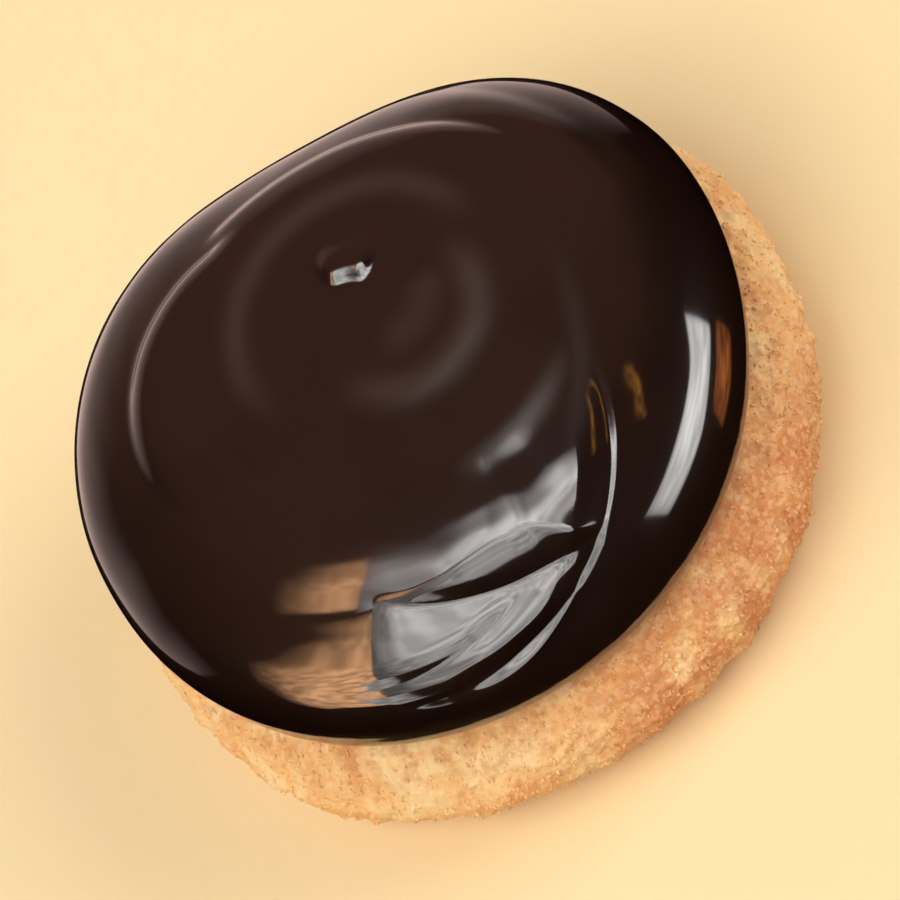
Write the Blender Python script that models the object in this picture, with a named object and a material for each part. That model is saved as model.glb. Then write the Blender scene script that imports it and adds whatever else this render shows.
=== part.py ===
"""A round doughnut without a hole: pale baked dough under a thick swirled cap of chocolate icing.

Run with: blender --background --python part.py
Sizes are in millimetres and turned to metres when the meshes are written. +Z is up. The doughnut
rests on the flat underside of its dough, and its origin is the middle of the underside of its box.
Azimuths are in degrees, anticlockwise from +X as seen from above. The front faces -Y.
"""

from collections import namedtuple

import bmesh
import bpy
import numpy as np
from mathutils import Vector, noise

METRES = 0.001
COLLECTION = "chocolate_glazed_doughnut"

# A lobe swells an outline or an edge: waves round it, share of its size, and azimuth of a crest.
Lobe = namedtuple("Lobe", "waves share azimuth")

# A lap is a ridge of icing along an arc, seen from above. It rises slowly on one side and drops
# over a short way on the other, which is the arc's outer side when outward is true. Its ends fade.
Lap = namedtuple("Lap", "centre radius start end height rise drop outward")

# The dough: a squashed ball with a flat underside
DOUGH_RADIUS = 45.0
DOUGH_WIDEST_Z = 10.6
DOUGH_TOP_Z = 29.0
BASE_RADIUS = 33.0
LOWER_CURVE = 2.2
DOUGH_LOBES = (Lobe(2, 0.0154, 19.0), Lobe(3, 0.0061, -17.0), Lobe(4, 0.0074, 20.5))
CRAG_HEIGHT = 0.45
CRAG_SPACING = 5.5
LUMP_HEIGHT = 0.5
LUMP_SPACING = 14.0

# The icing: a full dome with a rounded lip, leaning a little to the left
ICING_RADIUS = 41.6
ICING_EDGE_Z = 19.6
ICING_LIP = 6.0
ICING_LIP_WIDTH = 3.2
ICING_TOP_Z = 41.3
ICING_DOME_CURVE = 2.6
ICING_LEAN = (-3.0, 1.1)
ICING_LOBES = (
    Lobe(1, 0.0062, -107.0),
    Lobe(2, 0.0285, -5.7),
    Lobe(3, 0.0245, 10.6),
    Lobe(4, 0.0181, 25.2),
    Lobe(5, 0.0041, 29.0),
)
EDGE_LOBES = (Lobe(1, 0.023, -153.0), Lobe(3, 0.012, 80.0), Lobe(5, 0.009, 20.0))
ICING_GAP = 0.6

# The swirl left by the icing as it was laid on, from its middle to the edge
SWIRL_CENTRE = (6.0, 4.7)
DIMPLE_RADIUS = 6.0
DIMPLE_DEPTH = 0.7
SWIRL_LAPS = (
    Lap(SWIRL_CENTRE, 7.0, 35.0, 130.0, 0.6, 4.0, 2.4, False),
    Lap(SWIRL_CENTRE, 12.6, 165.0, 365.0, 0.45, 3.5, 4.5, True),
    Lap((2.8, 6.8), 13.2, 10.0, 160.0, 0.45, 3.5, 4.5, True),
    Lap(SWIRL_CENTRE, 23.8, 245.0, 300.0, 0.7, 4.5, 4.0, True),
    Lap((1.0, 1.0), 28.3, -40.0, 172.0, 1.1, 7.0, 2.8, True),
    Lap((-5.0, 0.0), 34.5, 75.0, 172.0, 0.8, 4.5, 3.5, True),
    Lap((1.0, 1.0), 35.0, -5.0, 55.0, 0.5, 4.0, 2.8, True),
    Lap((4.3, 0.7), 34.0, 196.0, 272.0, 0.8, 6.5, 2.4, True),
    Lap((-14.1, 3.4), 40.8, -96.0, -6.0, 1.7, 8.0, 2.6, True),
    Lap((0.0, 0.0), 37.2, -82.0, -22.0, 0.8, 3.5, 3.5, True),
)
END_FADE = 22.0

# Points round each piece, and rows of points from its underside to its top
DOUGH_SEGMENTS = 88
DOUGH_FLAT_ROWS = 4
DOUGH_LOWER_ROWS = 9
DOUGH_UPPER_ROWS = 18
ICING_SEGMENTS = 80
ICING_UNDER_ROWS = 8
ICING_LIP_ROWS = 4
ICING_DOME_ROWS = 36


def clear_scene():
    """Removes every object of the startup scene."""
    for old in list(bpy.data.objects):
        bpy.data.objects.remove(old, do_unlink=True)


def smooth_step(value):
    """0 below 0, 1 above 1, and a soft S between."""
    t = np.clip(value, 0.0, 1.0)
    return t * t * (3.0 - 2.0 * t)


def outline(azimuth, size, lobes):
    """A nearly even size all round, such as a radius, at each azimuth in radians."""
    share = 1.0
    for lobe in lobes:
        share = share + lobe.share * np.cos(lobe.waves * (azimuth - np.radians(lobe.azimuth)))
    return size * share


def icing_radius(azimuth):
    """Radius of the icing's widest line."""
    return outline(azimuth, ICING_RADIUS, ICING_LOBES)


def edge_height(azimuth):
    """Height of the icing's lower edge."""
    return outline(azimuth, ICING_EDGE_Z, EDGE_LOBES)


def shoulder_curve(azimuth):
    """Exponent of the dough's upper curve, found by halving, so that it meets the icing's edge."""
    widest = outline(azimuth, DOUGH_RADIUS, DOUGH_LOBES)
    seat = icing_radius(azimuth) - ICING_LIP_WIDTH
    across = np.clip(seat / widest, 0.6, 0.985)
    up = (edge_height(azimuth) - ICING_GAP - DOUGH_WIDEST_Z) / (DOUGH_TOP_Z - DOUGH_WIDEST_Z)
    low = np.full_like(across, 0.8)
    high = np.full_like(across, 6.0)
    for _ in range(40):
        middle = (low + high) / 2
        too_full = across**middle + up**middle < 1.0
        high = np.where(too_full, middle, high)
        low = np.where(too_full, low, middle)
    return (low + high) / 2


def dough_height(azimuth, radius):
    """Height of the dough's upper surface at each radius inside the icing's edge."""
    curve = shoulder_curve(azimuth)
    across = np.clip(radius / outline(azimuth, DOUGH_RADIUS, DOUGH_LOBES), 0.0, 1.0)
    return DOUGH_WIDEST_Z + (DOUGH_TOP_Z - DOUGH_WIDEST_Z) * (1.0 - across**curve) ** (1.0 / curve)


def dough_points(azimuth, row):
    """Points of the dough: its flat underside, the curve under its widest line, and its dome."""
    widest = outline(azimuth, DOUGH_RADIUS, DOUGH_LOBES)
    base = widest * BASE_RADIUS / DOUGH_RADIUS
    curve = shoulder_curve(azimuth)

    flat = np.clip(row / DOUGH_FLAT_ROWS, 0.0, 1.0)
    lower = np.clip((row - DOUGH_FLAT_ROWS) / DOUGH_LOWER_ROWS, 0.0, 1.0) * np.pi / 2
    upper = np.clip((row - DOUGH_FLAT_ROWS - DOUGH_LOWER_ROWS) / DOUGH_UPPER_ROWS, 0.0, 1.0) * np.pi / 2

    radius = base * flat + (widest - base) * np.sin(lower) ** (2 / LOWER_CURVE)
    radius = np.where(upper > 0.0, widest * np.abs(np.cos(upper)) ** (2 / curve), radius)
    height = DOUGH_WIDEST_Z * (1.0 - np.abs(np.cos(lower)) ** (2 / LOWER_CURVE))
    height = height + (DOUGH_TOP_Z - DOUGH_WIDEST_Z) * np.sin(upper) ** (2 / curve)
    points = np.stack([radius * np.cos(azimuth), radius * np.sin(azimuth), height], axis=1)
    return add_crags(points)


def add_crags(points):
    """Pushes the baked side in and out by lumps and crags, but not its flat or what the icing covers."""
    centre = np.array([0.0, 0.0, DOUGH_WIDEST_Z])
    outward = points - centre
    outward /= np.linalg.norm(outward, axis=1, keepdims=True)
    lumps = np.array([noise.noise(Vector(point / LUMP_SPACING)) for point in points])
    crags = np.array([noise.noise(Vector(point / CRAG_SPACING)) for point in points])
    below_icing = smooth_step((ICING_EDGE_Z - 1.5 - points[:, 2]) / 3.0)
    above_flat = smooth_step(points[:, 2] / 2.0)
    push = (LUMP_HEIGHT * lumps + CRAG_HEIGHT * crags) * below_icing * above_flat
    return points + outward * push[:, None]


def lap_relief(lap, x, y):
    """Height that one lap adds to the icing at each place."""
    dx = x - lap.centre[0]
    dy = y - lap.centre[1]
    distance = np.hypot(dx, dy) - lap.radius
    if not lap.outward:
        distance = -distance
    rise = np.exp(-((distance / lap.rise) ** 2))
    drop = 0.5 + 0.5 * np.cos(np.pi * np.clip(distance / lap.drop, 0.0, 1.0))
    middle = (lap.start + lap.end) / 2
    off_middle = (np.degrees(np.arctan2(dy, dx)) - middle + 180.0) % 360.0 - 180.0
    fade = smooth_step(((lap.end - lap.start) / 2 - np.abs(off_middle)) / END_FADE)
    return lap.height * fade * np.where(distance < 0.0, rise, drop)


def swirl_relief(x, y):
    """Height of the swirl over the smooth dome, at places seen from above."""
    from_centre = np.hypot(x - SWIRL_CENTRE[0], y - SWIRL_CENTRE[1])
    relief = -DIMPLE_DEPTH * np.exp(-((from_centre / DIMPLE_RADIUS) ** 2))
    for lap in SWIRL_LAPS:
        relief = relief + lap_relief(lap, x, y)
    return relief


def dome_points(azimuth, reach):
    """Points of the icing's dome, from its middle (reach 0) to its widest line (reach 1)."""
    share = np.sin(reach * np.pi / 2)
    middle = (np.array(SWIRL_CENTRE) - np.array(ICING_LEAN)) / ICING_RADIUS
    across = share * np.cos(azimuth) + middle[0] * (1.0 - share**2)
    along = share * np.sin(azimuth) + middle[1] * (1.0 - share**2)
    share = np.minimum(np.hypot(across, along), 1.0)
    azimuth = np.arctan2(along, across)

    widest = icing_radius(azimuth)
    side_z = edge_height(azimuth) + ICING_LIP
    up = (1.0 - share**ICING_DOME_CURVE) ** (1.0 / ICING_DOME_CURVE)
    x = widest * across + ICING_LEAN[0] * up
    y = widest * along + ICING_LEAN[1] * up
    z = side_z + (ICING_TOP_Z - side_z) * up

    sideways = share ** (ICING_DOME_CURVE - 1.0) / widest
    upward = up ** (ICING_DOME_CURVE - 1.0) / (ICING_TOP_Z - side_z)
    normal = np.stack([sideways * np.cos(azimuth), sideways * np.sin(azimuth), upward], axis=1)
    normal /= np.linalg.norm(normal, axis=1, keepdims=True)
    relief = swirl_relief(x, y) * smooth_step(up / 0.4)
    return np.stack([x, y, z], axis=1) + normal * relief[:, None]


def lip_points(azimuth, turn):
    """Points of the rounded lip, from the widest line (turn 0) down to the edge (turn 90 degrees)."""
    radius = icing_radius(azimuth) - ICING_LIP_WIDTH * (1.0 - np.cos(turn))
    height = edge_height(azimuth) + ICING_LIP * (1.0 - np.sin(turn))
    return np.stack([radius * np.cos(azimuth), radius * np.sin(azimuth), height], axis=1)


def underside_points(azimuth, reach):
    """Points of the icing's underside, which follows the dough out to the edge (reach 1)."""
    radius = reach * (icing_radius(azimuth) - ICING_LIP_WIDTH)
    height = dough_height(azimuth, radius) + ICING_GAP
    return np.stack([radius * np.cos(azimuth), radius * np.sin(azimuth), height], axis=1)


def icing_points(azimuth, row):
    """Points of the icing: its underside, its lip and its dome."""
    lip_row = ICING_UNDER_ROWS + ICING_LIP_ROWS
    under = underside_points(azimuth, np.clip(row / ICING_UNDER_ROWS, 0.0, 1.0))
    lip = lip_points(azimuth, np.clip((lip_row - row) / ICING_LIP_ROWS, 0.0, 1.0) * np.pi / 2)
    dome = dome_points(azimuth, np.clip(1.0 - (row - lip_row) / ICING_DOME_ROWS, 0.0, 1.0))
    row = row[:, None]
    return np.where(row <= ICING_UNDER_ROWS, under, np.where(row < lip_row, lip, dome))


def round_mesh(name, segments, rows, points_of):
    """A sphere whose points are moved to their places on the piece, row by row."""
    shape = bmesh.new()
    bmesh.ops.create_uvsphere(shape, u_segments=segments, v_segments=rows, radius=1.0)
    sphere = np.array([vertex.co for vertex in shape.verts])
    azimuth = np.arctan2(sphere[:, 1], sphere[:, 0])
    row = np.round((0.5 + np.arcsin(np.clip(sphere[:, 2], -1.0, 1.0)) / np.pi) * rows)
    for vertex, point in zip(shape.verts, points_of(azimuth, row)):
        vertex.co = point
    bmesh.ops.triangulate(shape, faces=shape.faces)
    bmesh.ops.recalc_face_normals(shape, faces=shape.faces)
    mesh = bpy.data.meshes.new(name)
    shape.to_mesh(mesh)
    shape.free()
    mesh.shade_smooth()
    return mesh


def matter(name, colour, roughness, coat):
    """A Principled material. The colour is linear red, green and blue."""
    material = bpy.data.materials.new(name)
    material.use_nodes = True
    shader = material.node_tree.nodes["Principled BSDF"]
    shader.inputs["Base Color"].default_value = (*colour, 1.0)
    shader.inputs["Metallic"].default_value = 0.0
    shader.inputs["Roughness"].default_value = roughness
    shader.inputs["Coat Weight"].default_value = coat
    material.diffuse_color = (*colour, 1.0)
    return material


def add_piece(collection, mesh, material):
    """Puts a mesh with its material in the collection as a piece of the same name."""
    mesh.materials.append(material)
    piece = bpy.data.objects.new(mesh.name, mesh)
    collection.objects.link(piece)
    return piece


def stand_on_origin(pieces):
    """Moves the meshes together so that the middle of the underside of their box is the origin, in metres."""
    points = np.array([vertex.co for piece in pieces for vertex in piece.data.vertices])
    low = points.min(axis=0)
    high = points.max(axis=0)
    middle = Vector(((low[0] + high[0]) / 2, (low[1] + high[1]) / 2, low[2]))
    for piece in pieces:
        for vertex in piece.data.vertices:
            vertex.co = (vertex.co - middle) * METRES


def build():
    """Makes the whole doughnut."""
    clear_scene()
    collection = bpy.data.collections.new(COLLECTION)
    bpy.context.scene.collection.children.link(collection)

    dough_rows = DOUGH_FLAT_ROWS + DOUGH_LOWER_ROWS + DOUGH_UPPER_ROWS
    dough = add_piece(
        collection,
        round_mesh("dough", DOUGH_SEGMENTS, dough_rows, dough_points),
        matter("baked_dough", (0.74, 0.40, 0.15), 0.75, 0.0),
    )
    icing_rows = ICING_UNDER_ROWS + ICING_LIP_ROWS + ICING_DOME_ROWS
    icing = add_piece(
        collection,
        round_mesh("chocolate_icing", ICING_SEGMENTS, icing_rows, icing_points),
        matter("dark_chocolate_icing", (0.018, 0.009, 0.006), 0.3, 0.6),
    )
    stand_on_origin([dough, icing])


build()
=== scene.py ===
"""Looks of a chocolate glazed doughnut without a hole: baked dough under a swirled cap of icing.

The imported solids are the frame. There is a section for each piece, in the order in which the real
one is made: the dough is baked and sheds crumbs, and the icing is laid on it in a swirl. The table,
the lights and the camera come last. Lengths are in millimetres until a mesh is written in metres,
and azimuths in degrees, anticlockwise from +X as seen from above. The front faces -Y.
"""

import math
from collections import namedtuple

import bpy
import numpy as np
from mathutils import Matrix, Vector, noise


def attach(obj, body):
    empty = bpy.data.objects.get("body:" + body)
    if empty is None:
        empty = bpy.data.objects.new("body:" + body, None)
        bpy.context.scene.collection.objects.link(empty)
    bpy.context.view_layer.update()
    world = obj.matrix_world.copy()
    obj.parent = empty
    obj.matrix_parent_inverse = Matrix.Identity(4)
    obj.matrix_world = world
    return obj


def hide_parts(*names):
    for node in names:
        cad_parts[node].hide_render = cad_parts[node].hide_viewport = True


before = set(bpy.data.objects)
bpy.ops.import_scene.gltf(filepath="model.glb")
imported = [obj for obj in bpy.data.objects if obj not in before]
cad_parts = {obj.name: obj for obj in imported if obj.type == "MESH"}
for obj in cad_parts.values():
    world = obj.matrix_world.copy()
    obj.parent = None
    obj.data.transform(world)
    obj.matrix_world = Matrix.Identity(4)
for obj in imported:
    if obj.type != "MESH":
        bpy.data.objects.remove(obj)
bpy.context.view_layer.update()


# The baked dough
# A squashed ball of sweet dough without a hole, risen and baked pale. It lay on the tray with its
# flat underside. Its side is dry and finely crumbed, and its top is hidden by the icing.

MM = 0.001

# The dough's form. A lobe is a swell of an outline: how often it comes round, its share of the size,
# and the azimuth of its crest. The lower curve is the exponent of an oval, 2 for an ellipse.
Lobe = namedtuple("Lobe", "waves share azimuth")
DOUGH_RADIUS = 45.0
DOUGH_WIDEST_Z = 10.6
DOUGH_TOP_Z = 29.0
BASE_RADIUS = 33.0
LOWER_CURVE = 2.2
DOUGH_LOBES = (Lobe(2, 0.0154, 19.0), Lobe(3, 0.0061, -17.0), Lobe(4, 0.0074, 20.5))

# The icing's lip, which the dough's shoulder meets
ICING_RADIUS = 41.6
ICING_EDGE_Z = 19.6
ICING_LIP_WIDTH = 3.2
ICING_LOBES = (
    Lobe(1, 0.0062, -107.0),
    Lobe(2, 0.0285, -5.7),
    Lobe(3, 0.0245, 10.6),
    Lobe(4, 0.0181, 25.2),
    Lobe(5, 0.0041, 29.0),
)
EDGE_LOBES = (Lobe(1, 0.023, -153.0), Lobe(3, 0.012, 80.0), Lobe(5, 0.009, 20.0))
ICING_GAP = 0.6

# The exponents between which the dough's upper curve is looked for, and how often that span is halved
SHOULDER_CURVES = (0.8, 6.0)
HALVINGS = 40

# Lumps and crags of the side. They fade out over these heights, below the top of the bare side and
# above the flat.
LUMP_HEIGHT = 0.5
LUMP_SPACING = 14.0
CRAG_HEIGHT = 0.45
CRAG_SPACING = 5.5
BARE_TOP_Z = ICING_EDGE_Z - 1.5
TOP_FADE = 3.0
FOOT_FADE = 2.0

# The finer relief of the crumb: knobs, and pebbles on them, each with the level of its noise that
# stays in place. The last two say where the side is smooth and where its relief is full, at its foot
# and at the icing.
KNOB_HEIGHT = 0.9
KNOB_SPACING = 3.4
KNOB_MIDDLE = 0.45
PEBBLE_HEIGHT = 1.9
PEBBLE_SPACING = 1.2
PEBBLE_MIDDLE = 0.5
SMOOTH_Z = (0.0, ICING_EDGE_Z - 0.3)
ROUGH_Z = (1.5, ICING_EDGE_Z - 3.0)

# Points round the dough, and rows of points on its flat, below its widest line, and on its shoulder
# and its hidden top above it. The shoulder ends where the icing covers it.
DOUGH_SEGMENTS = 880
DOUGH_FLAT_ROWS = 5
DOUGH_LOWER_ROWS = 46
DOUGH_SHOULDER_ROWS = 34
DOUGH_HIDDEN_ROWS = 14
SHOULDER_TURN = math.radians(28.0)

# Layers of browner crust and of painted shade on the pale dough: towards one side or up the side, from where
# to where in millimetres, the size of its mottles, the noise where it is clear and where it covers, its most,
# and its colour. The second is painted shade beside the icing, where its lip shades the dough.
# The side towards which the dough is painted browner, at azimuth about 290 degrees
BROWNER_SIDE = (0.34, -0.94, 0.0)
CRUST_AND_SHADE_LAYERS = (
    ("facing", 31.0, 41.0, 5.0, 0.32, 0.54, 0.8, "#CC7A3E"),
    # Painted shade beside the icing, where its lip shades the dough, not browning
    ("height", 13.0, 18.5, 2.6, 0.42, 0.6, 0.7, "#CC7E3A"),
    ("height", 8.0, 3.0, 1.8, 0.46, 0.62, 0.6, "#B0683A"),
    ("facing", 12.0, 40.0, 1.2, 0.5, 0.68, 0.75, "#D07C46"),
)

# Spacings of the pale dough's patches and of the grains of its crumb, and how deep the grains' bump is
PATCH_SPACING = 7.0
GRAIN_SPACING = 0.6
GRAIN_DEPTH = 0.3


def smooth_step(value):
    """0 below 0, 1 above 1, and a soft S between."""
    t = np.clip(value, 0.0, 1.0)
    return t * t * (3.0 - 2.0 * t)


def outline(azimuth, size, lobes):
    """A nearly even size all round, such as a radius, at each azimuth in radians."""
    share = 1.0
    for lobe in lobes:
        share = share + lobe.share * np.cos(lobe.waves * (azimuth - np.radians(lobe.azimuth)))
    return size * share


def polar_points(azimuth, radius, height):
    """Points at these azimuths, distances from the axis and heights."""
    return np.stack([radius * np.cos(azimuth), radius * np.sin(azimuth), height], axis=1)


def lip_radius(azimuth):
    """Radius at which the icing's edge meets the dough."""
    return outline(azimuth, ICING_RADIUS, ICING_LOBES) - ICING_LIP_WIDTH


def shoulder_curve(azimuth):
    """Exponent of the dough's upper curve, found by halving, so that it meets the icing's edge."""
    across = lip_radius(azimuth) / outline(azimuth, DOUGH_RADIUS, DOUGH_LOBES)
    up = outline(azimuth, ICING_EDGE_Z, EDGE_LOBES) - ICING_GAP - DOUGH_WIDEST_Z
    up = up / (DOUGH_TOP_Z - DOUGH_WIDEST_Z)
    low = np.full_like(across, SHOULDER_CURVES[0])
    high = np.full_like(across, SHOULDER_CURVES[1])
    for _ in range(HALVINGS):
        middle = (low + high) / 2
        too_full = across**middle + up**middle < 1.0
        high = np.where(too_full, middle, high)
        low = np.where(too_full, low, middle)
    return (low + high) / 2


def push_crags(points):
    """Pushes the baked side in and out by lumps and crags, but not its flat or what the icing covers."""
    outward = points - np.array([0.0, 0.0, DOUGH_WIDEST_Z])
    outward /= np.linalg.norm(outward, axis=1, keepdims=True)
    lumps = np.array([noise.noise(Vector(point / LUMP_SPACING)) for point in points])
    crags = np.array([noise.noise(Vector(point / CRAG_SPACING)) for point in points])
    below_icing = smooth_step((BARE_TOP_Z - points[:, 2]) / TOP_FADE)
    above_flat = smooth_step(points[:, 2] / FOOT_FADE)
    push = (LUMP_HEIGHT * lumps + CRAG_HEIGHT * crags) * below_icing * above_flat
    return points + outward * push[:, None]


def dough_points(azimuth, row):
    """Points of the dough: its flat underside, the curve under its widest line, and its dome."""
    widest = outline(azimuth, DOUGH_RADIUS, DOUGH_LOBES)
    base = widest * BASE_RADIUS / DOUGH_RADIUS
    curve = shoulder_curve(azimuth)

    flat = np.clip(row / DOUGH_FLAT_ROWS, 0.0, 1.0)
    row = row - DOUGH_FLAT_ROWS
    lower = np.clip(row / DOUGH_LOWER_ROWS, 0.0, 1.0) * np.pi / 2
    row = row - DOUGH_LOWER_ROWS
    upper = np.clip(row / DOUGH_SHOULDER_ROWS, 0.0, 1.0) * SHOULDER_TURN
    row = row - DOUGH_SHOULDER_ROWS
    upper = upper + np.clip(row / DOUGH_HIDDEN_ROWS, 0.0, 1.0) * (np.pi / 2 - SHOULDER_TURN)

    radius = base * flat + (widest - base) * np.sin(lower) ** (2 / LOWER_CURVE)
    radius = np.where(upper > 0.0, widest * np.abs(np.cos(upper)) ** (2 / curve), radius)
    height = DOUGH_WIDEST_Z * (1.0 - np.abs(np.cos(lower)) ** (2 / LOWER_CURVE))
    height = height + (DOUGH_TOP_Z - DOUGH_WIDEST_Z) * np.sin(upper) ** (2 / curve)
    return push_crags(polar_points(azimuth, radius, height))


def middle_of_frame():
    """The doughnut's axis in the frame, through the dough's highest point, in millimetres."""
    top = max((vertex.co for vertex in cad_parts["dough"].data.vertices), key=lambda co: co.z)
    return np.array([top.x, top.y, 0.0]) / MM


AXIS = middle_of_frame()


def add_node(tree, kind, inputs=None, stops=(), **settings):
    """Adds a node with its settings, gives each input a value or the socket that feeds it, and sets
    the hex colours of a ramp at its stops."""
    node = tree.nodes.new(kind)
    for name, value in settings.items():
        setattr(node, name, value)
    for name, source in (inputs or {}).items():
        if isinstance(source, bpy.types.NodeSocket):
            tree.links.new(source, node.inputs[name])
        else:
            node.inputs[name].default_value = source
    for _ in stops[2:]:
        node.color_ramp.elements.new(0.5)
    for index, (place, code) in enumerate(stops):
        node.color_ramp.elements[index].position = place
        node.color_ramp.elements[index].color = colour(code)
    return node


def begin_tree(name, inputs):
    """A new geometry node tree with these inputs between its mesh and its material, and what they give."""
    tree = bpy.data.node_groups.new(name, "GeometryNodeTree")
    for word, kind in {"Geometry": "Geometry", **inputs, "Material": "Material"}.items():
        tree.interface.new_socket(word, in_out="INPUT", socket_type="NodeSocket" + kind)
    tree.interface.new_socket("Geometry", in_out="OUTPUT", socket_type="NodeSocketGeometry")
    return tree, add_node(tree, "NodeGroupInput").outputs


def end_tree(tree, given, geometry):
    """Ends a geometry node tree: its instances are made real and get the given material."""
    realized = add_node(tree, "GeometryNodeRealizeInstances", {"Geometry": geometry})
    painted = add_node(
        tree, "GeometryNodeSetMaterial", {"Geometry": realized.outputs[0], "Material": given["Material"]}
    )
    add_node(tree, "NodeGroupOutput", {"Geometry": painted.outputs[0]})


def run_nodes(piece, tree, values):
    """Runs a geometry node tree on the piece with these inputs, and keeps the result as its plain mesh,
    with its material in the only slot."""
    modifier = piece.modifiers.new(tree.name, "NODES")
    modifier.node_group = tree
    for item in tree.interface.items_tree:
        if item.in_out == "INPUT" and item.name in values:
            modifier[item.identifier] = values[item.name]
    evaluated = piece.evaluated_get(bpy.context.evaluated_depsgraph_get())
    mesh = bpy.data.meshes.new_from_object(evaluated)
    piece.modifiers.remove(modifier)
    piece.data = mesh
    mesh.materials.clear()
    mesh.materials.append(values["Material"])
    mesh.name = piece.name
    mesh.shade_smooth()


def new_piece(name, mesh):
    """A piece in the scene with this mesh."""
    piece = bpy.data.objects.new(name, mesh)
    bpy.context.scene.collection.objects.link(piece)
    return piece


def vertex_places(mesh):
    """The places of a mesh's vertices, in metres."""
    places = np.zeros(len(mesh.vertices) * 3, np.float32)
    mesh.vertices.foreach_get("co", places)
    return places.reshape(-1, 3)


def round_piece(name, segments, rows, points_of, material):
    """A sphere whose points are moved to their places on the piece, row by row from the lowest."""
    tree, given = begin_tree("sphere", {"Segments": "Int", "Rows": "Int"})
    sphere = add_node(
        tree,
        "GeometryNodeMeshUVSphere",
        {"Segments": given["Segments"], "Rings": given["Rows"], "Radius": 1.0},
    )
    end_tree(tree, given, sphere.outputs["Mesh"])

    piece = new_piece(name, bpy.data.meshes.new(name))
    run_nodes(piece, tree, {"Segments": segments, "Rows": rows, "Material": material})
    points = vertex_places(piece.data).astype(float)
    azimuth = np.arctan2(points[:, 1], points[:, 0])
    row = np.round((0.5 + np.arcsin(np.clip(points[:, 2], -1.0, 1.0)) / np.pi) * rows)
    points = (points_of(azimuth, row) + AXIS) * MM
    piece.data.vertices.foreach_set("co", points.astype(np.float32).ravel())
    piece.data.update()
    return piece


def colour(code):
    """An sRGB hex colour as linear red, green, blue and alpha."""
    parts = [int(code[i : i + 2], 16) / 255 for i in (1, 3, 5)]
    return (*[c / 12.92 if c <= 0.04045 else ((c + 0.055) / 1.055) ** 2.4 for c in parts], 1.0)


def new_material(name, settings):
    """A material with these settings of its shader, its node tree, and the shader."""
    material = bpy.data.materials.new(name)
    material.use_nodes = True
    shader = material.node_tree.nodes["Principled BSDF"]
    for word, value in settings.items():
        shader.inputs[word].default_value = value
    return material, material.node_tree, shader


def dough_material(name, pale_and_highlight_share, bump_strength, see_through):
    """Baked sweet dough: dry, matt and slightly see-through. It is pale gold, browner towards one side and at
    its foot on the tray, with painted shade beside the icing where its lip shades the dough, and mottled with
    orange crust and with paler grains of crumb, partly painted highlights on lit grains, the more of them the
    higher the share given for them."""
    material, tree, shader = new_material(
        name,
        {
            "Roughness": 0.8,
            "IOR": 1.45,
            "Subsurface Weight": see_through,
            "Subsurface Radius": (1.0, 0.5, 0.25),
            "Subsurface Scale": 1.0 * MM,
        },
    )
    place = add_node(tree, "ShaderNodeTexCoord").outputs["Object"]
    height = add_node(tree, "ShaderNodeSeparateXYZ", {"Vector": place}).outputs["Z"]
    facing = add_node(
        tree, "ShaderNodeVectorMath", {0: place, 1: BROWNER_SIDE}, operation="DOT_PRODUCT"
    ).outputs["Value"]

    patches = add_node(
        tree,
        "ShaderNodeTexNoise",
        {
            "Vector": place,
            "Scale": 1 / (PATCH_SPACING * MM),
            "Detail": 4.0,
            "Roughness": 0.6,
            "Distortion": 0.6,
        },
    )
    tint = add_node(
        tree,
        "ShaderNodeValToRGB",
        {"Fac": patches.outputs["Fac"]},
        [(0.38, "#EDB06E"), (0.5, "#F3C17E"), (0.62, "#F5D095")],
    ).outputs["Color"]
    for along, begin, full, spacing, clear, covered, most, code in CRUST_AND_SHADE_LAYERS:
        mottle = add_node(
            tree,
            "ShaderNodeTexNoise",
            {"Vector": place, "Scale": 1 / (spacing * MM), "Detail": 4.0, "Roughness": 0.65},
        )
        share = add_node(
            tree,
            "ShaderNodeMapRange",
            {"Value": mottle.outputs["Fac"], "From Min": clear, "From Max": covered, "To Max": most},
        ).outputs["Result"]
        within = add_node(
            tree,
            "ShaderNodeMapRange",
            {"Value": facing if along == "facing" else height, "From Min": begin * MM, "From Max": full * MM},
            interpolation_type="SMOOTHSTEP",
        ).outputs["Result"]
        share = add_node(tree, "ShaderNodeMath", {0: share, 1: within}, operation="MULTIPLY").outputs[0]
        tint = add_node(
            tree, "ShaderNodeMix", {"Factor": share, "A": tint, "B": colour(code)}, data_type="RGBA"
        ).outputs["Result"]
    grains = add_node(
        tree,
        "ShaderNodeTexVoronoi",
        {"Vector": place, "Scale": 1 / (GRAIN_SPACING * MM), "Randomness": 1.0},
    )
    # Paler grains of crumb, partly painted highlights on lit grains, mixed in with the colour below
    pale = add_node(
        tree,
        "ShaderNodeValToRGB",
        {"Fac": grains.outputs["Color"]},
        [(0.6 - 0.5 * pale_and_highlight_share, "#000000"), (0.85 - 0.4 * pale_and_highlight_share, "#8E8E8E")],
    )
    flecked = add_node(
        tree,
        "ShaderNodeMix",
        {"Factor": pale.outputs["Color"], "A": tint, "B": colour("#FFDAAC")},
        data_type="RGBA",
    )
    tree.links.new(flecked.outputs["Result"], shader.inputs["Base Color"])

    fine = add_node(
        tree,
        "ShaderNodeTexNoise",
        {"Vector": place, "Scale": 1 / (GRAIN_SPACING * MM), "Detail": 4.0, "Roughness": 0.7},
    )
    bump = add_node(
        tree,
        "ShaderNodeBump",
        {"Strength": bump_strength, "Distance": GRAIN_DEPTH * MM, "Height": fine.outputs["Fac"]},
    )
    tree.links.new(bump.outputs["Normal"], shader.inputs["Normal"])
    return material


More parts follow.
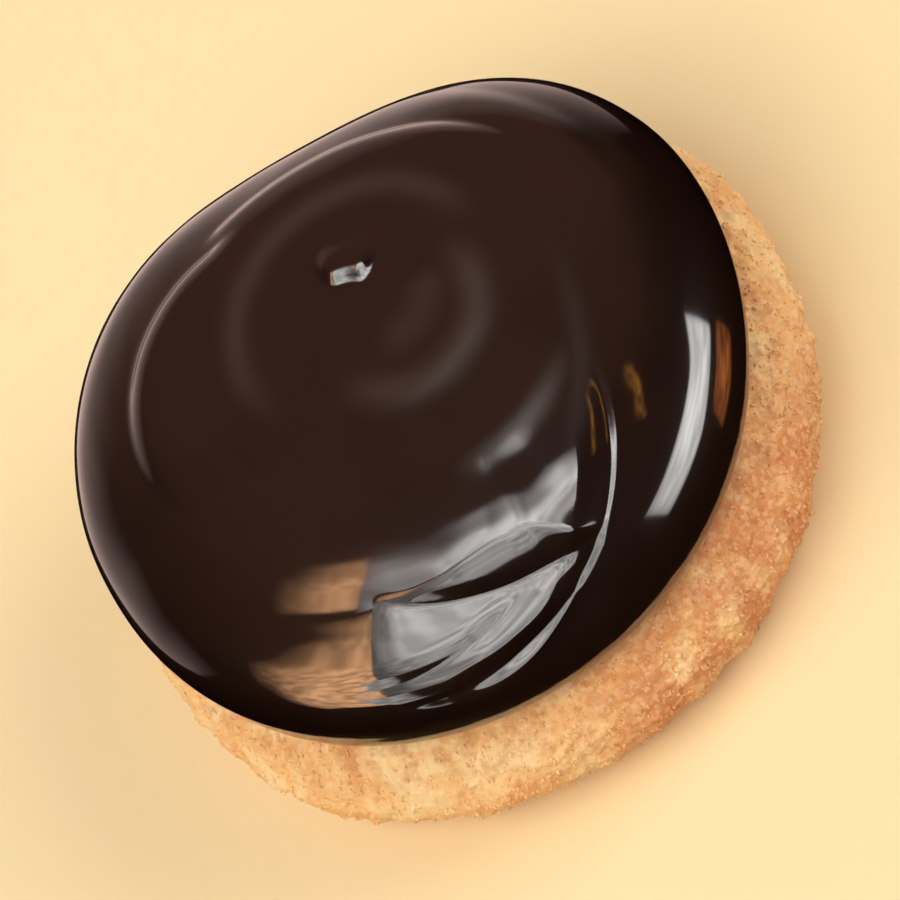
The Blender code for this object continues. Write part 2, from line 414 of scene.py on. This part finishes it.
def relief_nodes():
    """Geometry nodes that roughen the dough's side with the knobs and pebbles of its crumb."""
    heights = ("Smooth foot", "Rough above", "Rough below", "Smooth edge")
    sizes = ("Knob height", "Knob spacing", "Pebble height", "Pebble spacing", *heights)
    tree, given = begin_tree("crumb_relief", {word: "Float" for word in sizes})
    place = add_node(tree, "GeometryNodeInputPosition").outputs[0]
    outward = add_node(tree, "GeometryNodeInputNormal").outputs[0]
    height = add_node(tree, "ShaderNodeSeparateXYZ", {"Vector": place}).outputs["Z"]
    knobs_per_metre, pebbles_per_metre = (
        add_node(tree, "ShaderNodeMath", {0: 1.0, 1: given[spacing]}, operation="DIVIDE").outputs[0]
        for spacing in ("Knob spacing", "Pebble spacing")
    )

    knobs = add_node(
        tree,
        "ShaderNodeTexVoronoi",
        {"Vector": place, "Scale": knobs_per_metre, "Smoothness": 0.35},
        feature="SMOOTH_F1",
    ).outputs["Distance"]
    pebbles = add_node(
        tree,
        "ShaderNodeTexNoise",
        {"Vector": place, "Scale": pebbles_per_metre, "Detail": 3.0, "Roughness": 0.6},
    ).outputs[0]
    from_knob = add_node(
        tree, "ShaderNodeMath", {0: KNOB_MIDDLE, 1: knobs}, operation="SUBTRACT"
    ).outputs[0]
    knob_push = add_node(
        tree, "ShaderNodeMath", {0: from_knob, 1: given["Knob height"]}, operation="MULTIPLY"
    ).outputs[0]
    from_pebble = add_node(
        tree, "ShaderNodeMath", {0: pebbles, 1: PEBBLE_MIDDLE}, operation="SUBTRACT"
    ).outputs[0]
    push = add_node(
        tree,
        "ShaderNodeMath",
        {0: from_pebble, 1: given["Pebble height"], 2: knob_push},
        operation="MULTIPLY_ADD",
    ).outputs[0]
    for smooth, rough in (("Smooth foot", "Rough above"), ("Smooth edge", "Rough below")):
        share = add_node(
            tree,
            "ShaderNodeMapRange",
            {"Value": height, "From Min": given[smooth], "From Max": given[rough]},
            interpolation_type="SMOOTHSTEP",
        ).outputs["Result"]
        push = add_node(tree, "ShaderNodeMath", {0: push, 1: share}, operation="MULTIPLY").outputs[0]
    offset = add_node(
        tree, "ShaderNodeVectorMath", {0: outward, "Scale": push}, operation="SCALE"
    ).outputs["Vector"]
    moved = add_node(tree, "GeometryNodeSetPosition", {"Geometry": given["Geometry"], "Offset": offset})
    end_tree(tree, given, moved.outputs[0])
    return tree


dough_rows = DOUGH_FLAT_ROWS + DOUGH_LOWER_ROWS + DOUGH_SHOULDER_ROWS + DOUGH_HIDDEN_ROWS
baked = dough_material("baked_sweet_dough", pale_and_highlight_share=0.15, bump_strength=0.6, see_through=0.1)
dough = round_piece("dough_body", DOUGH_SEGMENTS, dough_rows, dough_points, baked)
run_nodes(
    dough,
    relief_nodes(),
    {
        "Knob height": KNOB_HEIGHT * MM,
        "Knob spacing": KNOB_SPACING * MM,
        "Pebble height": PEBBLE_HEIGHT * MM,
        "Pebble spacing": PEBBLE_SPACING * MM,
        "Smooth foot": SMOOTH_Z[0] * MM,
        "Rough above": ROUGH_Z[0] * MM,
        "Rough below": ROUGH_Z[1] * MM,
        "Smooth edge": SMOOTH_Z[1] * MM,
        "Material": baked,
    },
)
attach(dough, "root")
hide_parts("dough")


# The dough's crumbs
# Loose grains and small flakes of the same baked dough, which cling to its dry side. They are painted paler
# than the dough, as painted highlights on lit grains. Each is a lump of 20 faces, a third of a millimetre to
# one millimetre long, set half into the side.

SMALLEST_CRUMB = (0.18, 0.15, 0.10)
LARGEST_CRUMB = (0.52, 0.42, 0.26)
CRUMBS_PER_MM2 = 0.6
CRUMB_LOWEST_Z = 1.5
CRUMB_SEED = 7


def crumb_nodes():
    """Geometry nodes that scatter small lumps over the side, each of its own size and turn."""
    tree, given = begin_tree(
        "crumb_scatter",
        {
            "Density": "Float",
            "Lowest": "Float",
            "Highest": "Float",
            "Smallest": "Vector",
            "Largest": "Vector",
            "Seed": "Int",
        },
    )
    place = add_node(tree, "GeometryNodeInputPosition").outputs[0]
    height = add_node(tree, "ShaderNodeSeparateXYZ", {"Vector": place}).outputs["Z"]
    above, below = (
        add_node(tree, "FunctionNodeCompare", {"A": height, "B": given[limit]}, operation=way).outputs[0]
        for limit, way in (("Lowest", "GREATER_THAN"), ("Highest", "LESS_THAN"))
    )
    side = add_node(tree, "FunctionNodeBooleanMath", {0: above, 1: below})
    scattered = add_node(
        tree,
        "GeometryNodeDistributePointsOnFaces",
        {
            "Mesh": given["Geometry"],
            "Selection": side.outputs[0],
            "Density": given["Density"],
            "Seed": given["Seed"],
        },
    )
    lump = add_node(tree, "GeometryNodeMeshIcoSphere", {"Radius": 1.0, "Subdivisions": 1})
    size = add_node(
        tree,
        "FunctionNodeRandomValue",
        {"Min": given["Smallest"], "Max": given["Largest"], "Seed": given["Seed"]},
        data_type="FLOAT_VECTOR",
    )
    turn = add_node(
        tree,
        "FunctionNodeRandomValue",
        {"Max": (math.tau, math.tau, math.tau), "Seed": given["Seed"]},
        data_type="FLOAT_VECTOR",
    )
    turned = add_node(tree, "FunctionNodeEulerToRotation", {"Euler": turn.outputs["Value"]})
    placed = add_node(
        tree,
        "GeometryNodeInstanceOnPoints",
        {
            "Points": scattered.outputs["Points"],
            "Instance": lump.outputs["Mesh"],
            "Rotation": turned.outputs[0],
            "Scale": size.outputs["Value"],
        },
    )
    end_tree(tree, given, placed.outputs[0])
    return tree


crumbs = new_piece("dough_crumbs", dough.data.copy())
run_nodes(
    crumbs,
    crumb_nodes(),
    {
        "Density": CRUMBS_PER_MM2 / MM**2,
        "Lowest": CRUMB_LOWEST_Z * MM,
        "Highest": BARE_TOP_Z * MM,
        "Smallest": tuple(half * MM for half in SMALLEST_CRUMB),
        "Largest": tuple(half * MM for half in LARGEST_CRUMB),
        "Seed": CRUMB_SEED,
        # Most crumbs painted pale, as painted highlights on lit grains
        "Material": dough_material("dry_dough_crumb", pale_and_highlight_share=0.8, bump_strength=0.0, see_through=0.0),
    },
)
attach(crumbs, "root")


# The chocolate icing
# Dark chocolate icing, laid on thick and warm in a swirl, so that each turn left a soft lap on the
# one before. It has run to a rounded lip round the dough and set with a wet gloss.

ICING_LIP_HEIGHT = 6.0
ICING_TOP_Z = 41.3
ICING_DOME_CURVE = 2.6
ICING_LEAN = (-3.0, 1.1)
SWIRL_CENTRE = (6.0, 4.7)
DIMPLE_RADIUS = 6.0
DIMPLE_DEPTH = 0.7
# Below this share of the dome's height the swirl fades out towards the lip
SWIRL_FADE = 0.4

# A lap's crest runs along an arc. It rises slowly on one side and drops over a short way on the
# other, which is the arc's outer side when outward is true. The drop steepens down to its foot, the
# more so the higher its power, and crease says how softly it ends, as a share of it. The arc's four
# azimuths say where the lap begins, is full, is no longer full, and ends. Sink is the share of its
# height by which the ground round it lies lower. Widen is how much wider its drop becomes on the
# way along WIDENING_ARC degrees. Taper is the share by which its drop narrows from above, down to its
# foot, where the lap ends.
WIDENING_ARC = 100.0
Lap = namedtuple(
    "Lap",
    "centre radius arc height rise drop power crease outward sink widen taper",
    defaults=(True, 0.0, 0.0, 0.0),
)
ROUND = (-230.0, -210.0, 210.0, 230.0)
SWIRL_LAPS = (
    # The rings of the last turns, round the dimple
    Lap((2.0, 5.4), 7.0, (20.0, 40.0, 68.0, 88.0), 0.75, 3.0, 2.4, 1.6, 0.15, outward=False),
    Lap((4.0, 5.0), 14.2, ROUND, 0.35, 3.0, 3.6, 1.5, 0.3),
    Lap((5.5, -4.6), 15.2, (226.0, 266.0, 288.0, 318.0), 0.37, 4.5, 2.8, 1.8, 0.3),
    # The edge of the last large turn, on the far side
    Lap((-7.2, 6.8), 18.5, (66.0, 84.0, 125.0, 205.0), 1.0, 5.0, 2.8, 2.2, 0.06),
    Lap((1.5, -0.5), 28.2, (8.0, 38.0, 92.0, 103.0), 0.9, 6.0, 2.6, 2.2, 0.06),
    Lap((-5.0, 0.0), 34.5, (75.0, 100.0, 150.0, 172.0), 0.5, 4.5, 3.5, 1.8, 0.2),
    Lap((1.0, 1.0), 33.4, (-5.0, 12.0, 32.0, 50.0), 0.5, 4.0, 3.0, 2.0, 0.15),
    # The furrow outside the front edge, wider on its right and deeper on its left, and the swell of
    # the rim there
    Lap((-7.4, -11.5), 27.0, (-134.0, -120.0, -78.0, -66.0), -0.2, 0.8, 0.5, 1.2, 0.15),
    Lap((-7.4, -11.5), 27.0, (-78.0, -66.0, -30.0, -18.0), -0.2, 1.5, 0.5, 1.2, 0.15),
    Lap((-7.4, -11.5), 26.9, (-120.0, -106.0, -100.0, -78.0), -0.8, 1.0, 0.6, 1.2, 0.15),
    Lap((0.0, 0.0), 40.1, (185.0, 207.0, 246.0, 262.0), 0.8, 3.5, 1.8, 1.4, 0.3),
    # The front edge again, where the laps on its left end
    Lap((-10.0, -12.8), 24.5, (-116.0, -88.0, -73.0, -53.0), 1.3, 9.5, 2.6, 1.1, 0.13, sink=0.9),
)
# The edge of the last turn at the front, and the laps on its left that end with it
FRONT_EDGE = Lap(
    (-10.0, -12.8), 24.5, (-120.0, -85.0, -60.0, 0.0), 0.85, 9.5, 1.5, 1.1, 0.13, sink=0.5, widen=8.0
)
FRONT_LAPS = (
    Lap((5.4, -4.5), 29.6, (214.0, 232.0, 242.0, 256.0), 0.3, 11.0, 1.5, 1.4, 0.05, sink=1.0),
    Lap((5.4, -4.5), 26.2, (217.0, 250.0, 255.0, 270.0), 2.6, 11.0, 4.8, 1.35, 0.03, sink=0.9, taper=0.85),
    Lap((-9.5, -8.1), 24.2, (205.0, 235.0, 262.0, 280.0), 0.7, 6.0, 2.4, 2.2, 0.04, sink=0.9),
)

# Where the last turns were drawn slowly the icing has dried a little duller, in a soft band along each:
# its centre, radius and width, how dull it is, and the azimuths where it begins, is full, is no longer
# full, and ends
DULL_BANDS = (
    ((4.0, 5.0), 16.4, 1.7, 0.8, (-10.0, 20.0, 150.0, 200.0)),
    ((6.1, 0.8), 9.9, 2.0, 1.0, (180.0, 230.0, 335.0, 385.0)),
    ((5.8, 4.8), 6.4, 2.4, 0.5, (225.0, 265.0, 320.0, 350.0)),
    ((5.5, -4.6), 17.0, 1.3, 0.75, (240.0, 275.0, 292.0, 318.0)),
    ((-13.0, 4.2), 38.6, 1.2, 0.3, (300.0, 318.0, 332.0, 350.0)),
)

# Faint streaks along the turns: their height and width, and the radius in the noise of the circle that
# a turn follows, which gives about 19 of them to a turn
STREAK_HEIGHT = 0.03
STREAK_WIDTH = 2.4
STREAK_CIRCLE = 3.0

# Points round the icing, which are closer together at the front by this share, and rows of points on
# its underside, its lip and its dome
ICING_SEGMENTS = 520
ICING_UNDER_ROWS = 8
ICING_LIP_ROWS = 14
ICING_DOME_ROWS = 160
FRONT = math.radians(-90.0)
FRONT_CROWDING = 0.4


def near_arc(dx, dy, arc):
    """Azimuth of each place in degrees, counted within half a turn of the arc's middle."""
    middle = (arc[0] + arc[3]) / 2
    return (np.degrees(np.arctan2(dy, dx)) - middle + 180.0) % 360.0 - 180.0 + middle


def arc_fade(azimuth, arc):
    """1 where an arc is full, 0 outside it, and a soft S at its ends."""
    begin, full, full_end, end = arc
    return smooth_step((azimuth - begin) / (full - begin)) * smooth_step((end - azimuth) / (end - full_end))


def lap_shape(lap, x, y):
    """Relief of a lap at each place, and its drop there, which is 1 up to its crest and 0 past its foot."""
    dx = x - lap.centre[0]
    dy = y - lap.centre[1]
    distance = np.hypot(dx, dy) - lap.radius
    if not lap.outward:
        distance = -distance
    azimuth = near_arc(dx, dy, lap.arc)
    fade = arc_fade(azimuth, lap.arc)
    narrowed = lap.drop * lap.taper * (1.0 - fade)
    distance = distance - narrowed
    widened = lap.widen * np.clip((azimuth - lap.arc[1]) / WIDENING_ARC, 0.0, 1.0)
    width = lap.drop - narrowed + widened
    across = np.maximum(distance / width, 0.0)
    kept = across - lap.crease * np.logaddexp(0.0, (across - 1.0) / lap.crease)
    drop = 1.0 - np.maximum(kept, 0.0) ** lap.power
    rise = np.exp(-((np.minimum(distance, 0.0) / lap.rise) ** 2))
    sunk = lap.sink * np.exp(-((distance / lap.rise) ** 2))
    return lap.height * fade * (drop * rise - sunk), drop


def swirl_relief(x, y):
    """Height of the swirl over the smooth dome, at places seen from above."""
    dx = x - SWIRL_CENTRE[0]
    dy = y - SWIRL_CENTRE[1]
    from_centre = np.hypot(dx, dy)
    relief = -DIMPLE_DEPTH * np.exp(-((from_centre / DIMPLE_RADIUS) ** 2))
    for lap in SWIRL_LAPS:
        relief = relief + lap_shape(lap, x, y)[0]
    edge, drop = lap_shape(FRONT_EDGE, x, y)
    relief = relief + edge
    for lap in FRONT_LAPS:
        relief = relief + lap_shape(lap, x, y)[0] * drop
    along = STREAK_CIRCLE / np.maximum(from_centre, DIMPLE_RADIUS)
    places = np.stack([from_centre / STREAK_WIDTH, dx * along, dy * along], axis=1)
    streaks = np.array([noise.noise(Vector(place)) for place in places])
    return relief + STREAK_HEIGHT * streaks * smooth_step(from_centre / DIMPLE_RADIUS - 1.0)


def dullness(x, y):
    """How dull the icing has dried at places seen from above, from 0 to 1."""
    dull = np.zeros_like(x)
    for centre, radius, width, most, arc in DULL_BANDS:
        dx = x - centre[0]
        dy = y - centre[1]
        across = np.exp(-(((np.hypot(dx, dy) - radius) / width) ** 2))
        dull = np.maximum(dull, most * across * arc_fade(near_arc(dx, dy, arc), arc))
    return dull


def dome_points(azimuth, share):
    """Points of the icing's dome, from its middle (share 0) to its widest line (share 1)."""
    middle = (np.array(SWIRL_CENTRE) - np.array(ICING_LEAN)) / ICING_RADIUS
    across = share * np.cos(azimuth) + middle[0] * (1.0 - share**2)
    along = share * np.sin(azimuth) + middle[1] * (1.0 - share**2)
    share = np.minimum(np.hypot(across, along), 1.0)
    azimuth = np.arctan2(along, across)

    widest = outline(azimuth, ICING_RADIUS, ICING_LOBES)
    side_z = outline(azimuth, ICING_EDGE_Z, EDGE_LOBES) + ICING_LIP_HEIGHT
    up = (1.0 - share**ICING_DOME_CURVE) ** (1.0 / ICING_DOME_CURVE)
    x = widest * across + ICING_LEAN[0] * up
    y = widest * along + ICING_LEAN[1] * up
    z = side_z + (ICING_TOP_Z - side_z) * up

    sideways = share ** (ICING_DOME_CURVE - 1.0) / widest
    upward = up ** (ICING_DOME_CURVE - 1.0) / (ICING_TOP_Z - side_z)
    normal = np.stack([sideways * np.cos(azimuth), sideways * np.sin(azimuth), upward], axis=1)
    normal /= np.linalg.norm(normal, axis=1, keepdims=True)
    relief = swirl_relief(x, y) * smooth_step(up / SWIRL_FADE)
    return np.stack([x, y, z], axis=1) + normal * relief[:, None]


def lip_points(azimuth, turn):
    """Points of the rounded lip, from the widest line (turn 0) down to the edge (turn 90 degrees)."""
    radius = outline(azimuth, ICING_RADIUS, ICING_LOBES) - ICING_LIP_WIDTH * (1.0 - np.cos(turn))
    height = outline(azimuth, ICING_EDGE_Z, EDGE_LOBES) + ICING_LIP_HEIGHT * (1.0 - np.sin(turn))
    return polar_points(azimuth, radius, height)


def underside_points(azimuth, reach):
    """Points of the icing's underside, which follows the dough out to the edge (reach 1)."""
    radius = reach * lip_radius(azimuth)
    curve = shoulder_curve(azimuth)
    across = radius / outline(azimuth, DOUGH_RADIUS, DOUGH_LOBES)
    rise = (DOUGH_TOP_Z - DOUGH_WIDEST_Z) * (1.0 - across**curve) ** (1.0 / curve)
    return polar_points(azimuth, radius, DOUGH_WIDEST_Z + rise + ICING_GAP)


def icing_points(azimuth, row):
    """Points of the icing: its underside, its lip and its dome. They are closer at the front."""
    azimuth = azimuth - FRONT_CROWDING * np.sin(azimuth - FRONT)
    lip_row = ICING_UNDER_ROWS + ICING_LIP_ROWS
    under = underside_points(azimuth, np.clip(row / ICING_UNDER_ROWS, 0.0, 1.0))
    lip = lip_points(azimuth, np.clip((lip_row - row) / ICING_LIP_ROWS, 0.0, 1.0) * np.pi / 2)
    reach = np.clip(1.0 - (row - lip_row) / ICING_DOME_ROWS, 0.0, 1.0)
    dome = dome_points(azimuth, np.sin(reach * np.pi / 2))
    row = row[:, None]
    return np.where(row <= ICING_UNDER_ROWS, under, np.where(row < lip_row, lip, dome))


# Spacing of the faint clouds in the icing's brown, and its sheen where it is glossy and where dullest
CLOUD_SPACING = 14.0
GLOSSY_SHEEN = 0.05
DULLEST_SHEEN = 1.0


def icing_material():
    """Set chocolate icing: nearly black brown fat and sugar with a wet gloss over a softer sheen, which
    is stronger where it has dried duller."""
    material, tree, shader = new_material(
        "set_chocolate_icing",
        {
            "Roughness": 0.42,
            "IOR": 1.5,
            "Coat Weight": 1.0,
            "Coat Roughness": 0.07,
            "Coat IOR": 1.85,
        },
    )
    place = add_node(tree, "ShaderNodeTexCoord").outputs["Object"]
    cloud = add_node(
        tree,
        "ShaderNodeTexNoise",
        {"Vector": place, "Scale": 1 / (CLOUD_SPACING * MM), "Detail": 3.0, "Roughness": 0.5},
    )
    base = add_node(
        tree, "ShaderNodeValToRGB", {"Fac": cloud.outputs["Fac"]}, [(0.35, "#180A05"), (0.65, "#1E0D06")]
    ).outputs["Color"]
    tree.links.new(base, shader.inputs["Base Color"])
    dull = add_node(tree, "ShaderNodeAttribute", attribute_name="dullness")
    sheen = add_node(
        tree,
        "ShaderNodeMapRange",
        {"Value": dull.outputs["Fac"], "To Min": GLOSSY_SHEEN, "To Max": DULLEST_SHEEN},
    )
    tree.links.new(sheen.outputs["Result"], shader.inputs["Specular IOR Level"])
    return material


icing_rows = ICING_UNDER_ROWS + ICING_LIP_ROWS + ICING_DOME_ROWS
icing = round_piece("icing_cap", ICING_SEGMENTS, icing_rows, icing_points, icing_material())
places = vertex_places(icing.data) / MM - AXIS
dull = icing.data.attributes.new("dullness", "FLOAT", "POINT")
dull.data.foreach_set("value", dullness(places[:, 0], places[:, 1]).astype(np.float32))
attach(icing, "root")
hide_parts("chocolate_icing")


# The table
# A plain table top in matt cream paint, on which the doughnut stands by its flat underside. It fills
# the picture, and the icing's lip doesn't mirror it.

TABLE_SIZE_M = 6.0

bpy.ops.mesh.primitive_plane_add(size=TABLE_SIZE_M, location=(0.0, 0.0, 0.0))
table = bpy.context.object
table.name = "table"
paint = {"Base Color": colour("#F6DBA8"), "Roughness": 0.9, "Specular IOR Level": 0.1}
table.data.materials.append(new_material("matt_cream_paint", paint)[0])
table.visible_glossy = False


# The lights
# Cloth softboxes and cards, 1.5 m from the doughnut. A key and a fill light what is matt, and the rest
# are only mirrored: a tall window in front with a warm reflector beside it, a low softbox on the right,
# a small lamp, and behind the doughnut a pale wall and a dim brown room.

SOFTBOX_DISTANCE_M = 1.5
AIM_HEIGHT = 30.0 * MM
WINDOW_FACING = (237.3, 47.3)
DAYLIGHT = "#FFFDFA"
WARM_REFLECTOR = "#FFBE89"
ROOM_LIGHT = 0.3

# Levels of light along a side: even, and soft at both ends. The last is the noise's range in the folds.
EVEN = ((0.0, 1.0), (1.0, 1.0))
SOFT_ENDS = ((0.0, 0.0), (0.35, 1.0), (0.65, 1.0), (1.0, 0.0))
FOLD_NOISE = (0.35, 0.65)


def softbox(name, facing, edges, across, upwards, folds, radiance, tint, mirrored=True):
    """A flat light, which is either mirrored or lights what is matt. Facing is the azimuth and elevation
    that its plane faces. Edges are the degrees from there to its left, right, bottom and top. Across
    and upwards are its levels at places along its width and its height, from 0 to 1. Folds are how
    many there are across and upwards, and the lowest level in them."""
    azimuth, elevation = (math.radians(angle) for angle in facing)
    turned = Matrix.Rotation(azimuth + math.pi / 2, 3, "Z")
    turned = turned @ Matrix.Rotation(math.pi / 2 - elevation, 3, "X")
    left, right, bottom, top = (SOFTBOX_DISTANCE_M * math.tan(math.radians(angle)) for angle in edges)
    light = bpy.data.lights.new(name, "AREA")
    light.shape = "RECTANGLE"
    light.size = right - left
    light.size_y = top - bottom
    light.energy = radiance * math.pi * light.size * light.size_y
    light.color = colour(tint)[:3]
    light.use_nodes = True
    tree = light.node_tree
    place = add_node(tree, "ShaderNodeNewGeometry").outputs["Parametric"]
    split = add_node(tree, "ShaderNodeSeparateXYZ", {"Vector": place})
    levels = []
    for axis, stops in (("X", across), ("Y", upwards)):
        if stops == EVEN:
            continue
        level = add_node(tree, "ShaderNodeFloatCurve", {"Value": split.outputs[axis]})
        curve = level.mapping.curves[0]
        curve.points[0].location = stops[0]
        curve.points[1].location = stops[-1]
        for stop in stops[1:-1]:
            curve.points.new(*stop)
        level.mapping.update()
        levels.append(level.outputs["Value"])
    if folds:
        folds_across, folds_upwards, lowest = folds
        spread = add_node(
            tree,
            "ShaderNodeVectorMath",
            {0: place, 1: (folds_across, folds_upwards, 0.0)},
            operation="MULTIPLY",
        )
        cloth = add_node(
            tree,
            "ShaderNodeTexNoise",
            {"Vector": spread.outputs["Vector"], "Scale": 1.0, "Detail": 1.5, "Roughness": 0.6},
        )
        level = add_node(
            tree,
            "ShaderNodeMapRange",
            {
                "Value": cloth.outputs["Fac"],
                "From Min": FOLD_NOISE[0],
                "From Max": FOLD_NOISE[1],
                "To Min": lowest,
            },
        )
        levels.append(level.outputs["Result"])
    strength = 1.0
    for level in levels:
        strength = add_node(tree, "ShaderNodeMath", {0: level, 1: strength}, operation="MULTIPLY").outputs[0]
    if levels:
        tree.links.new(strength, tree.nodes["Emission"].inputs["Strength"])
    lamp = bpy.data.objects.new(name, light)
    centre = Vector(((left + right) / 2, (bottom + top) / 2, SOFTBOX_DISTANCE_M))
    lamp.location = turned @ centre + Vector((0.0, 0.0, AIM_HEIGHT))
    lamp.rotation_mode = "QUATERNION"
    lamp.rotation_quaternion = turned.to_quaternion()
    lamp.visible_camera = False
    lamp.visible_diffuse = not mirrored
    lamp.visible_glossy = mirrored
    bpy.context.scene.collection.objects.link(lamp)


# The key and the fill, for what is matt
softbox("key_softbox", (205.0, 58.0), (-25, 25, -22, 22), EVEN, EVEN, None, 3.6, DAYLIGHT, mirrored=False)
softbox("fill_softbox", (350.0, 38.0), (-20, 20, -18, 18), EVEN, EVEN, None, 3.4, DAYLIGHT, mirrored=False)

# The window in its two parts, with a card under it
softbox(
    "window_top",
    WINDOW_FACING,
    (-25.5, 24, 36, 50.5),
    ((0.0, 0.15), (0.14, 0.6), (0.3, 1.0), (1.0, 1.0)),
    ((0.0, 0.7), (0.35, 1.0), (0.56, 1.0), (0.77, 0.4), (1.0, 0.0)),
    (7.0, 2.0, 0.5),
    6.4,
    DAYLIGHT,
)
softbox(
    "window_bottom",
    WINDOW_FACING,
    (-17.5, 24, -17, 36),
    ((0.0, 0.15), (0.2, 0.35), (0.5, 0.9), (0.75, 1.0), (1.0, 1.0)),
    ((0.0, 0.0), (0.04, 0.5), (0.4, 0.65), (0.75, 0.95), (1.0, 0.8)),
    (6.0, 8.0, 0.45),
    6.4,
    DAYLIGHT,
)
softbox(
    "low_card",
    WINDOW_FACING,
    (-25.5, -9, -50, -17),
    ((0.0, 1.0), (0.6, 1.0), (1.0, 0.0)),
    EVEN,
    (2.0, 3.0, 0.4),
    3.0,
    DAYLIGHT,
)

# The low softbox on the right
softbox(
    "right_softbox",
    (320.0, 18.0),
    (-27, 30, -17, 9),
    ((0.0, 0.0), (0.3, 1.0), (0.95, 1.0), (1.0, 0.0)),
    ((0.0, 0.0), (0.3, 1.0), (0.8, 1.0), (1.0, 0.0)),
    (3.0, 5.0, 0.6),
    6.6,
    DAYLIGHT,
)

# The warm reflector on the window's left, in two parts with a gap between
softbox(
    "warm_top",
    WINDOW_FACING,
    (-42, -25.5, 38.5, 50),
    ((0.0, 0.0), (0.35, 0.3), (0.65, 0.8), (1.0, 1.0)),
    ((0.0, 0.0), (0.25, 1.0), (0.6, 0.8), (1.0, 0.0)),
    (8.0, 5.0, 0.5),
    6.6,
    WARM_REFLECTOR,
)
softbox(
    "warm_bottom",
    WINDOW_FACING,
    (-50, -17.5, -41, 34),
    ((0.0, 0.0), (0.25, 0.2), (0.5, 0.7), (0.75, 1.0), (1.0, 1.0)),
    ((0.0, 0.0), (0.03, 1.0), (0.83, 1.0), (0.93, 0.6), (1.0, 0.0)),
    (9.0, 12.0, 0.4),
    6.9,
    WARM_REFLECTOR,
)

# A warm card under the softbox on the right, and the lamp on the window's right
softbox(
    "warm_card",
    (338.0, -16.0),
    (-12, 12, -12, 10),
    SOFT_ENDS,
    SOFT_ENDS,
    (3.0, 6.0, 0.3),
    3.4,
    "#E08040",
)
softbox(
    "brass_lamp",
    WINDOW_FACING,
    (43.5, 47.5, 43, 61),
    SOFT_ENDS,
    SOFT_ENDS,
    (2.0, 5.0, 0.0),
    4.0,
    "#D8913C",
)

# The pale wall low down behind the doughnut, and the brown room over it
softbox(
    "pale_wall",
    (95.0, 8.0),
    (-65, 65, -38, 24),
    ((0.0, 0.0), (0.2, 0.45), (0.42, 1.0), (0.65, 1.0), (0.85, 0.6), (1.0, 0.0)),
    ((0.0, 1.0), (1.0, 0.0)),
    None,
    1.65,
    "#FFDCD0",
)
softbox(
    "brown_room",
    (85.0, 48.0),
    (-68, 60, -35, 45),
    ((0.0, 0.0), (0.25, 0.3), (0.43, 1.0), (0.58, 1.0), (0.76, 0.4), (1.0, 0.0)),
    ((0.0, 0.0), (0.25, 0.9), (1.0, 0.0)),
    None,
    0.22,
    "#FFB89C",
)

# Soft white light from all sides for what is matt. It is the scene's world before its visibility is set.
world = bpy.data.worlds.new("white_room")
world.use_nodes = True
world.node_tree.nodes["Background"].inputs["Color"].default_value = colour("#FFFFFF")
world.node_tree.nodes["Background"].inputs["Strength"].default_value = ROOM_LIGHT
bpy.context.scene.world = world
world.cycles_visibility.glossy = False


# The camera
# It looks down at the front from 57 degrees and half a metre away, rolled so that the doughnut leans
# over to the left. Its lens makes a millimetre of the doughnut as many pixels as in the photograph.

PHOTO_SIZE = 900
SENSOR_WIDTH = 36.0
CAMERA_ELEVATION = math.radians(56.819)
CAMERA_ROLL = math.radians(45.273)
CAMERA_DISTANCE = 500.0
PIXELS_PER_MM = 8.293
# The point in the middle of the picture, from the foot of the doughnut's axis
AIM = Vector((-0.74, -0.99, 15.35))

camera = bpy.data.objects.new("camera", bpy.data.cameras.new("camera"))
bpy.context.scene.collection.objects.link(camera)
bpy.context.scene.camera = camera
across = Vector((1.0, 0.0, 0.0))
back = Vector((0.0, -math.cos(CAMERA_ELEVATION), math.sin(CAMERA_ELEVATION)))
level = Matrix((across, back.cross(across), back)).transposed()
rolled = level @ Matrix.Rotation(-CAMERA_ROLL, 3, "Z")
camera.rotation_mode = "QUATERNION"
camera.rotation_quaternion = rolled.to_quaternion()
camera.location = (AIM + Vector(AXIS) + back * CAMERA_DISTANCE) * MM
camera.data.sensor_width = SENSOR_WIDTH
camera.data.lens = CAMERA_DISTANCE * PIXELS_PER_MM * SENSOR_WIDTH / PHOTO_SIZE
camera.data.clip_start = 0.01
camera.data.clip_end = 20.0
bpy.context.scene.view_settings.view_transform = "Standard"
